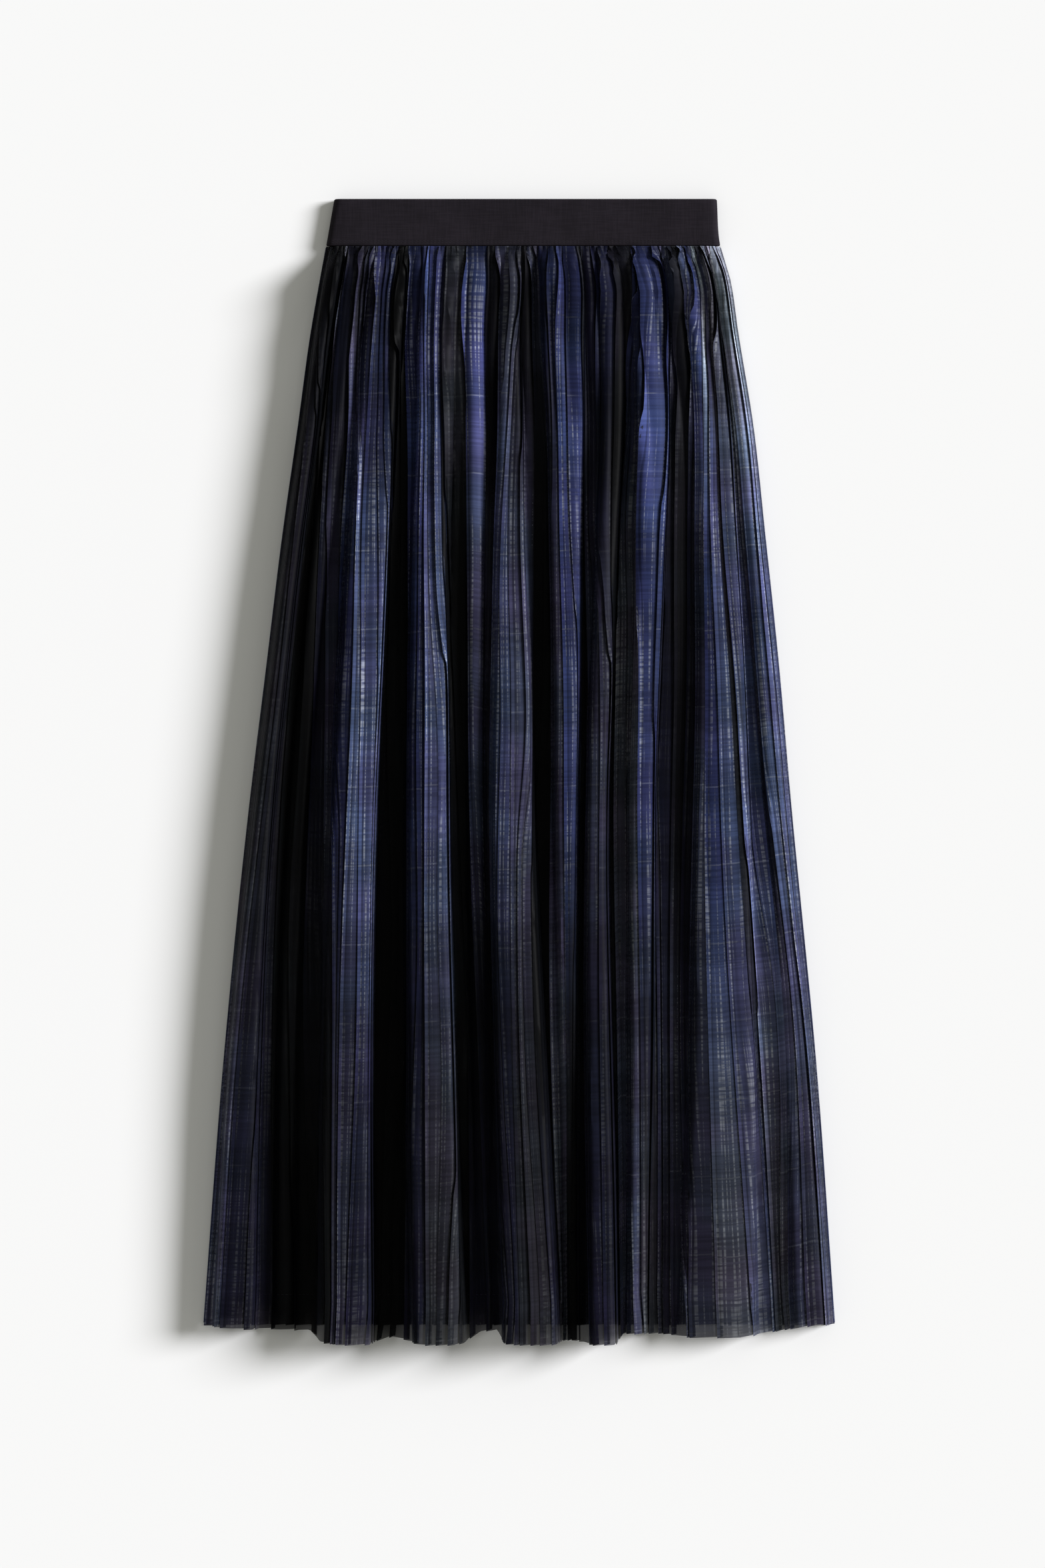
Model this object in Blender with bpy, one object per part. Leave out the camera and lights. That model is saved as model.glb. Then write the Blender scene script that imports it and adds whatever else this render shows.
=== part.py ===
"""Pleated maxi skirt, laid flat on its back, as five closed solids.

Metres, +Z up. The skirt lies in the XY plane with its waist toward +Y and its hem toward -Y,
and it rests on Z = 0. "Down" is always the distance from the top edge of the waistband toward
the hem, and the origin is the middle of the outline, on the surface that the skirt lies on.

From the surface upward: the pleated back panel, the back lining, the front lining, and the
pleated front panel, which stands in long soft folds that fan out from the waistband. The
waistband is one flattened elastic ring that stays a little open. Neighbours stay a seam gap apart.
"""

from collections import namedtuple
from math import cos, pi, sin

import bpy
import numpy as np

# Whole skirt
SKIRT_LENGTH = 0.978
SEAM_GAP = 0.0003

# Waistband
BAND_HEIGHT = 0.040
BAND_WALL = 0.0020
BAND_EDGE = 0.0012
BAND_EDGE_INSET = 0.0004
BAND_END_STEPS = 8
BAND_THICKNESS = 0.012

# Knife pleats, pressed into both outer panels
PLEATS_PER_PANEL = 66
PLEAT_FACE_SHARE = 0.74
PLEAT_LIFT = 0.0009
HEM_POINT = 0.0016

# Walls
OUTER_WALL = 0.0012
BACK_WALL = 0.0011
LINING_WALL = 0.0010

# Hem lines, as distances down
BACK_HEM_DOWN = 0.961
FRONT_LINING_HEM_DOWN = 0.954
BACK_LINING_HEM_DOWN = 0.950
LINING_INSET = 0.013

# Front panel's folds
SIDE_ROLL = 0.009
FLANK_AT_WAIST = 0.007
FLANK_AT_HEM = 0.009
CREST_ROUNDING = 0.06
FOLD_START = 0.034
SEAM_LIFT_REACH = 0.050
FRONT_ROWS = 13
BACK_ROWS = 6
LINING_ROWS = 8
LINING_COLUMNS = 6
ROW_CROWDING = 1.6
CURVE_SAMPLES = 1600

# The outline of the skirt: how far its side seams lie left and right of the centre line.
Side = namedtuple("Side", "down left right")
OUTLINE = (
    Side(0.000, -0.158, 0.169),
    Side(0.040, -0.165, 0.172),
    Side(0.067, -0.170, 0.180),
    Side(0.113, -0.178, 0.187),
    Side(0.193, -0.189, 0.200),
    Side(0.284, -0.202, 0.210),
    Side(0.398, -0.216, 0.222),
    Side(0.512, -0.230, 0.232),
    Side(0.740, -0.253, 0.254),
    Side(0.963, -0.270, 0.270),
)

# The front panel's folds, left to right. Each is followed from just under the gathers to the
# hem: where its crest lies, half its width and how far it stands up, at three distances down.
WAIST_STATION, MIDDLE_STATION, HEM_STATION = 0.113, 0.455, 0.960
Fold = namedtuple(
    "Fold",
    "name waist_x middle_x hem_x waist_half middle_half hem_half waist_rise middle_rise hem_rise",
)
FOLDS = (
    Fold("left_side_fold", -0.168, -0.213, -0.243, 0.006, 0.009, 0.017, 0.021, 0.024, 0.021),
    Fold("left_ripple", -0.150, -0.184, -0.200, 0.005, 0.007, 0.008, 0.003, 0.005, 0.009),
    Fold("left_fold", -0.116, -0.139, -0.148, 0.014, 0.018, 0.022, 0.008, 0.023, 0.034),
    Fold("left_middle_fold", -0.072, -0.078, -0.068, 0.013, 0.016, 0.022, 0.008, 0.021, 0.033),
    Fold("shoulder", -0.038, -0.037, -0.026, 0.006, 0.006, 0.006, 0.006, 0.010, 0.003),
    Fold("centre_fold", -0.008, -0.006, 0.010, 0.007, 0.016, 0.024, 0.007, 0.023, 0.034),
    Fold("centre_ripple", 0.035, 0.040, 0.046, 0.015, 0.010, 0.005, 0.009, 0.018, 0.010),
    Fold("right_middle_fold", 0.080, 0.068, 0.071, 0.008, 0.008, 0.012, 0.005, 0.018, 0.031),
    Fold("right_ripple", 0.112, 0.107, 0.100, 0.012, 0.010, 0.007, 0.009, 0.018, 0.009),
    Fold("right_fold", 0.158, 0.173, 0.169, 0.010, 0.020, 0.032, 0.007, 0.014, 0.018),
    Fold("right_side_fold", 0.180, 0.215, 0.249, 0.004, 0.007, 0.014, 0.005, 0.010, 0.014),
)

# The front panel's hem line, left to right: lower under the folds that stand up.
Hem = namedtuple("Hem", "x down")
FRONT_HEM = (
    Hem(-0.270, 0.9610),
    Hem(-0.235, 0.9635),
    Hem(-0.200, 0.9645),
    Hem(-0.178, 0.9655),
    Hem(-0.170, 0.9740),
    Hem(-0.150, 0.9762),
    Hem(-0.127, 0.9758),
    Hem(-0.108, 0.9705),
    Hem(-0.095, 0.9740),
    Hem(-0.080, 0.9764),
    Hem(-0.056, 0.9762),
    Hem(-0.044, 0.9735),
    Hem(-0.033, 0.9665),
    Hem(-0.019, 0.9645),
    Hem(-0.013, 0.9750),
    Hem(0.000, 0.9762),
    Hem(0.026, 0.9762),
    Hem(0.045, 0.9730),
    Hem(0.062, 0.9764),
    Hem(0.083, 0.9762),
    Hem(0.089, 0.9680),
    Hem(0.120, 0.9680),
    Hem(0.146, 0.9705),
    Hem(0.188, 0.9710),
    Hem(0.212, 0.9675),
    Hem(0.238, 0.9630),
    Hem(0.254, 0.9600),
    Hem(0.270, 0.9610),
)

# Heights in the stack, from the surface upward
BACK_TOP = BACK_WALL + PLEAT_LIFT
BACK_LINING_BASE = BACK_TOP + SEAM_GAP
FRONT_LINING_BASE = BACK_LINING_BASE + LINING_WALL + SEAM_GAP
FRONT_BASE = FRONT_LINING_BASE + LINING_WALL + SEAM_GAP
FRONT_LEVEL = FRONT_BASE + OUTER_WALL / 2 + PLEAT_LIFT / 2
SIDE_SEAM_LEVEL = BACK_TOP + SEAM_GAP + OUTER_WALL / 2 + PLEAT_LIFT / 2
SEAM_LIFT = BAND_THICKNESS - BAND_WALL / 2 - FRONT_LEVEL

SEAM_DOWN = BAND_HEIGHT + SEAM_GAP


def smooth_step(t):
    """0 below 0, 1 above 1, and an even S in between."""
    t = np.clip(t, 0.0, 1.0)
    return t * t * (3.0 - 2.0 * t)


def curve_through(stations, values, where):
    """A smooth curve through values at stations, which are in rising order."""
    stations = np.asarray(stations, float)
    values = np.asarray(values, float)
    slopes = np.gradient(values, stations)
    where = np.clip(where, stations[0], stations[-1])
    left = np.clip(np.searchsorted(stations, where, side="right") - 1, 0, len(stations) - 2)
    span = stations[left + 1] - stations[left]
    t = (where - stations[left]) / span
    return (
        (2 * t**3 - 3 * t**2 + 1) * values[left]
        + (t**3 - 2 * t**2 + t) * span * slopes[left]
        + (3 * t**2 - 2 * t**3) * values[left + 1]
        + (t**3 - t**2) * span * slopes[left + 1]
    )


def side_seams(down):
    """X of the left and right side seams at a distance down."""
    stations = [side.down for side in OUTLINE]
    left = curve_through(stations, [side.left for side in OUTLINE], down)
    right = curve_through(stations, [side.right for side in OUTLINE], down)
    return float(left), float(right)


def share_across(x, down):
    left, right = side_seams(down)
    return (x - left) / (right - left)


def rows_down(count, first, last, crowding):
    """Distances down, crowded toward the waist."""
    return first + (last - first) * np.linspace(0.0, 1.0, count) ** crowding


def fold_at(fold, down):
    """A fold's crest across the panel, half its width and its rise, at a distance down."""
    stations = (WAIST_STATION, MIDDLE_STATION, HEM_STATION)
    shares = [
        share_across(x, at)
        for x, at in zip((fold.waist_x, fold.middle_x, fold.hem_x), stations)
    ]
    halves = (fold.waist_half, fold.middle_half, fold.hem_half)
    rises = (fold.waist_rise, fold.middle_rise, fold.hem_rise)
    left, right = side_seams(down)
    crest = left + (right - left) * curve_through(stations, shares, down)
    fading = smooth_step((down - SEAM_DOWN) / FOLD_START)
    return crest, curve_through(stations, halves, down), fading * curve_through(stations, rises, down)


def fold_curve(down):
    """The front panel's section across the skirt, as the X and height of many points.

    At the seam it stands at the height of the waistband's front wall.
    """
    left, right = side_seams(down)
    x = np.linspace(left, right, CURVE_SAMPLES)
    lift = SEAM_LIFT * (1.0 - smooth_step((down - SEAM_DOWN) / SEAM_LIFT_REACH))
    z = np.full(CURVE_SAMPLES, FRONT_LEVEL + lift)
    flank = np.interp(down, (WAIST_STATION, HEM_STATION), (FLANK_AT_WAIST, FLANK_AT_HEM))
    for fold in FOLDS:
        crest, half, rise = fold_at(fold, down)
        rounded = 1.0 - CREST_ROUNDING * np.clip((x - crest) / half, -1.0, 1.0) ** 2
        z += rise * rounded * smooth_step((half + flank / 2 - np.abs(x - crest)) / flank)
    from_side = np.minimum(x - left, right - x)
    side_share = smooth_step(from_side / SIDE_ROLL)
    z = SIDE_SEAM_LEVEL + (z - SIDE_SEAM_LEVEL) * side_share
    return x, z


def pleat_points(down):
    """Every pleat's two creases on the fold curve: X, height, and the normal's X and Z."""
    x, z = fold_curve(down)
    length = np.concatenate([[0.0], np.cumsum(np.hypot(np.diff(x), np.diff(z)))])
    along = pleat_shares() * length[-1]
    at_x = np.interp(along, length, x)
    at_z = np.interp(along, length, z)
    slope = np.gradient(z, x)
    at_slope = np.interp(along, length, slope)
    across = np.hypot(1.0, at_slope)
    return at_x, at_z, -at_slope / across, 1.0 / across


def pleat_shares():
    """Where a panel's creases fall along it, from 0 to 1: a short return, then a long face."""
    starts = np.arange(PLEATS_PER_PANEL)
    pairs = np.stack([starts, starts + 1 - PLEAT_FACE_SHARE], axis=1).ravel()
    return np.append(pairs, PLEATS_PER_PANEL) / PLEATS_PER_PANEL


def crease_side(count):
    """-1 at each pleat's inner crease and 1 at its outer crease."""
    return np.where(np.arange(count) % 2, 1.0, -1.0)


def world_y(down):
    return SKIRT_LENGTH / 2 - down


def cloth_solid(name, upper, lower, material):
    """A closed wall between two grids of points, rows waist to hem and columns left to right."""
    rows, columns, _ = upper.shape
    layer = rows * columns

    def upper_at(r, c):
        return r * columns + c

    def lower_at(r, c):
        return layer + r * columns + c

    faces = []
    for r in range(rows - 1):
        for c in range(columns - 1):
            faces += halves(upper_at(r, c), upper_at(r + 1, c), upper_at(r + 1, c + 1), upper_at(r, c + 1))
            faces += [
                face[::-1]
                for face in halves(
                    lower_at(r, c), lower_at(r + 1, c), lower_at(r + 1, c + 1), lower_at(r, c + 1)
                )
            ]
    for r in range(rows - 1):
        faces += halves(upper_at(r, 0), lower_at(r, 0), lower_at(r + 1, 0), upper_at(r + 1, 0))
        end = columns - 1
        faces += halves(upper_at(r, end), upper_at(r + 1, end), lower_at(r + 1, end), lower_at(r, end))
    for c in range(columns - 1):
        faces += halves(upper_at(0, c), upper_at(0, c + 1), lower_at(0, c + 1), lower_at(0, c))
        end = rows - 1
        faces += halves(upper_at(end, c), lower_at(end, c), lower_at(end, c + 1), upper_at(end, c + 1))
    points = np.concatenate([upper.reshape(-1, 3), lower.reshape(-1, 3)])
    return add_object(name, points, faces, material)


def halves(a, b, c, d):
    """A four-sided face as two triangles that share the crease a to c."""
    return [(a, b, c), (a, c, d)]


def add_object(name, points, faces, material):
    mesh = bpy.data.meshes.new(name)
    mesh.from_pydata([tuple(point) for point in points], [], faces)
    mesh.materials.append(material)
    mesh.update()
    obj = bpy.data.objects.new(name, mesh)
    bpy.context.scene.collection.objects.link(obj)
    return obj


def cloth_material(name, color, roughness):
    material = bpy.data.materials.new(name)
    material.use_nodes = True
    shader = material.node_tree.nodes["Principled BSDF"]
    shader.inputs["Base Color"].default_value = (*color, 1.0)
    shader.inputs["Roughness"].default_value = roughness
    shader.inputs["Metallic"].default_value = 0.0
    return material


def make_front_panel(material):
    """The pleated front panel: pleats spaced evenly along each section of its folds."""
    upper, lower = [], []
    side = crease_side(len(pleat_shares()))
    nominal = rows_down(FRONT_ROWS, SEAM_DOWN, HEM_STATION, ROW_CROWDING)
    hem_x = pleat_points(HEM_STATION)[0]
    hem_down = np.interp(hem_x, [hem.x for hem in FRONT_HEM], [hem.down for hem in FRONT_HEM])
    hem_down += HEM_POINT * (side + 1) / 2
    for down in nominal:
        x, z, normal_x, normal_z = pleat_points(down)
        share = (down - SEAM_DOWN) / (HEM_STATION - SEAM_DOWN)
        y = world_y(SEAM_DOWN + share * (hem_down - SEAM_DOWN))
        middle = side * PLEAT_LIFT / 2
        for rows, offset in ((upper, middle + OUTER_WALL / 2), (lower, middle - OUTER_WALL / 2)):
            rows.append(np.stack([x + normal_x * offset, y, z + normal_z * offset], axis=1))
    return cloth_solid("front_panel", np.array(upper), np.array(lower), material)


def make_back_panel(material):
    """The pleated back panel: each pleat's face lies flat on the surface, its return arches up."""
    face_end = PLEAT_FACE_SHARE
    arch = (1 + face_end) / 2
    starts = np.arange(PLEATS_PER_PANEL)
    shares = np.stack([starts, starts + face_end, starts + arch], axis=1).ravel()
    shares = np.append(shares, PLEATS_PER_PANEL) / PLEATS_PER_PANEL
    lift = np.where(np.arange(len(shares)) % 3 == 2, PLEAT_LIFT, 0.0)
    upper, lower = [], []
    for down in rows_down(BACK_ROWS, SEAM_DOWN, BACK_HEM_DOWN, ROW_CROWDING):
        left, right = side_seams(down)
        x = left + (right - left) * shares
        y = np.full(len(shares), world_y(down))
        lower.append(np.stack([x, y, lift], axis=1))
        upper.append(np.stack([x, y, lift + BACK_WALL], axis=1))
    return cloth_solid("back_panel", np.array(upper), np.array(lower), material)


def make_lining(name, base, hem_down, material):
    """A plain lining panel, flat between the outer panels and a little narrower."""
    upper, lower = [], []
    for down in rows_down(LINING_ROWS, SEAM_DOWN, hem_down, 1.0):
        left, right = side_seams(down)
        x = np.linspace(left + LINING_INSET, right - LINING_INSET, LINING_COLUMNS)
        y = np.full(LINING_COLUMNS, world_y(down))
        for rows, height in ((lower, base), (upper, base + LINING_WALL)):
            rows.append(np.stack([x, y, np.full(LINING_COLUMNS, height)], axis=1))
    return cloth_solid(name, np.array(upper), np.array(lower), material)


def flattened_ring(left, right, inset, down):
    """Points round a flattened loop between two side folds, held in from the band's outside."""
    radius = BAND_THICKNESS / 2 - inset
    middle = BAND_THICKNESS / 2
    points = []
    for end_x, start in ((right - inset - radius, -pi / 2), (left + inset + radius, pi / 2)):
        for step in range(BAND_END_STEPS + 1):
            turn = start + pi * step / BAND_END_STEPS
            points.append((end_x + radius * cos(turn), world_y(down), middle + radius * sin(turn)))
    return points


def make_waistband(material):
    """The elastic waistband: one flattened ring with softened top and bottom edges."""
    edges = ((0.0, BAND_EDGE_INSET), (BAND_EDGE, 0.0))
    outside = [(down, inset) for down, inset in edges]
    outside += [(BAND_HEIGHT - down, inset) for down, inset in reversed(edges)]
    rings = []
    for down, inset in outside:
        rings.append(flattened_ring(*side_seams(down), inset, down))
    for down, inset in reversed(outside):
        rings.append(flattened_ring(*side_seams(down), BAND_WALL - inset, down))
    count = len(rings[0])
    faces = []
    for ring in range(len(rings)):
        after = (ring + 1) % len(rings)
        for point in range(count):
            beside = (point + 1) % count
            faces += halves(
                ring * count + point,
                ring * count + beside,
                after * count + beside,
                after * count + point,
            )
    points = [point for ring in rings for point in ring]
    return add_object("waistband", points, faces, material)


def main():
    for old in list(bpy.data.objects):
        bpy.data.objects.remove(old)
    sheer = cloth_material("sheer_shadow_check", (0.075, 0.075, 0.13), 0.55)
    lining = cloth_material("plain_lining", (0.020, 0.019, 0.023), 0.75)
    elastic = cloth_material("covered_elastic", (0.022, 0.018, 0.023), 0.85)
    make_waistband(elastic)
    make_back_panel(sheer)
    make_lining("back_lining", BACK_LINING_BASE, BACK_LINING_HEM_DOWN, lining)
    make_lining("front_lining", FRONT_LINING_BASE, FRONT_LINING_HEM_DOWN, lining)
    make_front_panel(sheer)


main()
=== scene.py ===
"""Looks of a pleated maxi skirt that lies flat on its back, photographed from straight above.

Metres, +Z up, the waist toward +Y and the hem toward -Y. "Down" is the distance from the top
edge of the waistband toward the hem, and "along" is the distance over the cloth's folds from
the left side seam. The outline and the folds are those of the skirt's solids.
"""

from collections import namedtuple
from math import cos, pi, radians, sin

import bpy
import numpy as np
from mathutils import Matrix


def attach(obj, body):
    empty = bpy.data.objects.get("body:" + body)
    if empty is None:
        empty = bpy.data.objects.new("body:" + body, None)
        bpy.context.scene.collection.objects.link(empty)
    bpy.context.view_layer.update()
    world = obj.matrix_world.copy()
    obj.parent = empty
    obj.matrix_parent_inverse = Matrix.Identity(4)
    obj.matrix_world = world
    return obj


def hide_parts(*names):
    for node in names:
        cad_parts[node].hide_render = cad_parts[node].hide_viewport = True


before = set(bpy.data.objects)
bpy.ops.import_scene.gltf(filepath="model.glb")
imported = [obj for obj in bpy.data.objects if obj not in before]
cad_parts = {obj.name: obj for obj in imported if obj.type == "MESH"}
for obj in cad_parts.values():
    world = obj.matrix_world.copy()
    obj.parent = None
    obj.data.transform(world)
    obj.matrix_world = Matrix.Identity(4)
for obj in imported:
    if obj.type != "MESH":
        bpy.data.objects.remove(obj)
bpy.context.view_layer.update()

# Whole skirt
SKIRT_LENGTH = 0.978
BAND_HEIGHT = 0.040
SEAM_DOWN = BAND_HEIGHT + 0.0003
BAND_THICKNESS = 0.012
BAND_WALL = 0.0020
BACK_HEM_DOWN = 0.961
FRONT_LINING_HEM_DOWN = 0.954
BACK_LINING_HEM_DOWN = 0.950
TURNED_HEM = 0.019
LINING_INSET = 0.013

# Heights of the layers above the surface
BACK_MIDDLE = 0.0016
BACK_LINING_LEVEL = 0.0028
FRONT_LINING_LEVEL = 0.0041
FRONT_LEVEL = 0.0056
SIDE_SEAM_LEVEL = 0.0026
SEAM_LIFT = BAND_THICKNESS - BAND_WALL / 2 - FRONT_LEVEL

# Knife pleats
PLEATS = 66
PLEAT_CUT = 0.0235
PLEAT_LIFT = 0.0013
GATHERED_LIFT = 0.0026
GATHERED_REACH = 0.12
PLEAT_BELLY = 0.0004
HEM_POINT = 0.0016
SPREAD_AT_WAIST = 0.70
SPREAD_AT_HEM = 0.20
SPREAD_REACH = 0.45
GATHER_PULL = 0.42
GATHER_PULL_REACH = 0.045
WANDER = 0.22
WANDER_STEP = 0.14
LIFT_WANDER = 0.35
LIFT_WANDER_STEP = 0.16
TUCKED_AT_SEAM = 0.30
TUCK_REACH = 0.014
FLATTENED_NEAR_SIDE = 0.02
BACK_MOST_LIFT = 0.0010
ROW_CROWDING = 1.3
FACE_STEPS = (0.0, 0.08, 0.17, 0.26, 0.35, 0.44, 0.54, 0.68, 0.84, 1.0)
RETURN_STEPS = (0.35, 0.70, 0.92)
PANEL_ROWS = 104
CURVE_SAMPLES = 2800

# Front panel's folds
SIDE_ROLL = 0.009
FLANK_AT_WAIST = 0.005
FLANK_AT_HEM = 0.007
CREST_ROUNDING = 0.05
FOLD_START = 0.028
SEAM_LIFT_REACH = 0.050

# Rolled side seams: the middle of the roll above the surface and in from the edge, and its size
SIDE_ROLL_LEVEL = 0.0017
SIDE_ROLL_INSET = 0.0009
SIDE_ROLL_HALF_WIDTH = 0.0012
SIDE_ROLL_HALF_HEIGHT = 0.0013

Stitch = namedtuple("Stitch", "spacing length thickness")
BAND_STITCH = Stitch(0.0032, 0.0024, 0.00045)
BAND_STITCH_ROWS = (BAND_HEIGHT - 0.0026, BAND_HEIGHT - 0.0044)
LINING_STITCH = Stitch(0.0036, 0.0026, 0.0005)
ROUTE_POINTS = 12

Side = namedtuple("Side", "down left right")
OUTLINE = (
    Side(0.000, -0.158, 0.169),
    Side(0.040, -0.165, 0.172),
    Side(0.067, -0.170, 0.180),
    Side(0.113, -0.178, 0.187),
    Side(0.193, -0.189, 0.200),
    Side(0.284, -0.202, 0.210),
    Side(0.398, -0.216, 0.222),
    Side(0.512, -0.230, 0.232),
    Side(0.740, -0.253, 0.254),
    Side(0.963, -0.270, 0.270),
)

WAIST_STATION, MIDDLE_STATION, HEM_STATION = 0.113, 0.455, 0.960
Fold = namedtuple(
    "Fold",
    "name waist_x middle_x hem_x waist_half middle_half hem_half waist_rise middle_rise hem_rise",
)
FOLDS = (
    Fold("left_side_fold", -0.168, -0.213, -0.243, 0.006, 0.009, 0.017, 0.021, 0.024, 0.021),
    Fold("left_ripple", -0.150, -0.184, -0.200, 0.005, 0.007, 0.008, 0.003, 0.005, 0.009),
    Fold("left_fold", -0.116, -0.139, -0.148, 0.014, 0.018, 0.022, 0.008, 0.023, 0.034),
    Fold("left_middle_fold", -0.072, -0.078, -0.068, 0.013, 0.016, 0.022, 0.008, 0.021, 0.033),
    Fold("shoulder", -0.038, -0.037, -0.026, 0.006, 0.006, 0.006, 0.006, 0.010, 0.003),
    Fold("centre_fold", -0.008, -0.006, 0.010, 0.007, 0.016, 0.024, 0.007, 0.023, 0.034),
    Fold("centre_ripple", 0.035, 0.040, 0.046, 0.015, 0.010, 0.005, 0.009, 0.018, 0.010),
    Fold("right_middle_fold", 0.080, 0.068, 0.071, 0.008, 0.008, 0.012, 0.005, 0.018, 0.031),
    Fold("right_ripple", 0.112, 0.107, 0.100, 0.012, 0.010, 0.007, 0.009, 0.018, 0.009),
    Fold("right_fold", 0.158, 0.173, 0.169, 0.010, 0.020, 0.032, 0.007, 0.014, 0.018),
    Fold("right_side_fold", 0.180, 0.215, 0.249, 0.004, 0.007, 0.014, 0.005, 0.010, 0.014),
)

# The front panel's hem line, left to right: lower under the folds that stand up.
Hem = namedtuple("Hem", "x down")
FRONT_HEM = (
    Hem(-0.270, 0.9610),
    Hem(-0.235, 0.9635),
    Hem(-0.200, 0.9645),
    Hem(-0.178, 0.9655),
    Hem(-0.170, 0.9740),
    Hem(-0.150, 0.9762),
    Hem(-0.127, 0.9758),
    Hem(-0.108, 0.9705),
    Hem(-0.095, 0.9740),
    Hem(-0.080, 0.9764),
    Hem(-0.056, 0.9762),
    Hem(-0.044, 0.9735),
    Hem(-0.033, 0.9665),
    Hem(-0.019, 0.9645),
    Hem(-0.013, 0.9750),
    Hem(0.000, 0.9762),
    Hem(0.026, 0.9762),
    Hem(0.045, 0.9730),
    Hem(0.062, 0.9764),
    Hem(0.083, 0.9762),
    Hem(0.089, 0.9680),
    Hem(0.120, 0.9680),
    Hem(0.146, 0.9705),
    Hem(0.188, 0.9710),
    Hem(0.212, 0.9675),
    Hem(0.238, 0.9630),
    Hem(0.254, 0.9600),
    Hem(0.270, 0.9610),
)

# Gathers that stand under the band and run out down the skirt: their X at the waist station, how
# far they have drifted sideways where they fade out, half their width, how far they stand up, and
# how far down they reach.
GATHER_START = 0.015
GATHER_FULL_TO = 0.06
Gather = namedtuple("Gather", "x drift half rise fades_at")
GATHERS = (
    Gather(-0.162, -0.002, 0.0040, 0.0034, 0.26),
    Gather(-0.141, -0.003, 0.0050, 0.0040, 0.34),
    Gather(-0.130, 0.004, 0.0030, 0.0026, 0.20),
    Gather(-0.103, -0.003, 0.0034, 0.0030, 0.24),
    Gather(-0.090, 0.005, 0.0040, 0.0042, 0.32),
    Gather(-0.058, -0.005, 0.0040, 0.0036, 0.28),
    Gather(-0.048, 0.003, 0.0034, 0.0034, 0.44),
    Gather(-0.022, -0.004, 0.0030, 0.0034, 0.30),
    Gather(0.006, 0.005, 0.0044, 0.0040, 0.34),
    Gather(0.022, -0.003, 0.0036, 0.0034, 0.38),
    Gather(0.033, 0.006, 0.0040, 0.0044, 0.30),
    Gather(0.049, -0.005, 0.0040, 0.0036, 0.34),
    Gather(0.064, 0.002, 0.0044, 0.0040, 0.46),
    Gather(0.096, 0.004, 0.0048, 0.0046, 0.42),
    Gather(0.110, -0.004, 0.0034, 0.0030, 0.26),
    Gather(0.124, 0.003, 0.0036, 0.0032, 0.26),
    Gather(0.138, -0.003, 0.0044, 0.0040, 0.34),
    Gather(0.150, 0.003, 0.0036, 0.0034, 0.28),
    Gather(0.168, -0.002, 0.0036, 0.0036, 0.30),
    Gather(0.179, 0.002, 0.0034, 0.0030, 0.26),
)
PUCKER_PITCH = 0.0044
PUCKER_RISE = 0.0010
PUCKER_REACH = 0.011

# The cloth's colours, and the painted shade and painted light a ribbon gets where it lies in shadow or
# catches the light
TONES = {
    "silver": (0.140, 0.145, 0.190),
    "sky": (0.070, 0.080, 0.170),
    "bright": (0.050, 0.060, 0.130),
    "steel": (0.034, 0.041, 0.094),
    "fog": (0.040, 0.039, 0.058),
    "smoke": (0.030, 0.031, 0.061),
    "indigo": (0.016, 0.020, 0.061),
    "slate": (0.0155, 0.0150, 0.0290),
    "navy": (0.0075, 0.0090, 0.0290),
    "ash": (0.0110, 0.0105, 0.0150),
    "ink": (0.0048, 0.0047, 0.0120),
    "soot": (0.0031, 0.0029, 0.0050),
    "black": (0.0009, 0.0010, 0.0013),
}
DEEP, DIM, SOFT, EVEN, LIT, CLEAR, GLINT = 0.25, 0.50, 0.75, 1.0, 1.5, 2.3, 3.6
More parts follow.
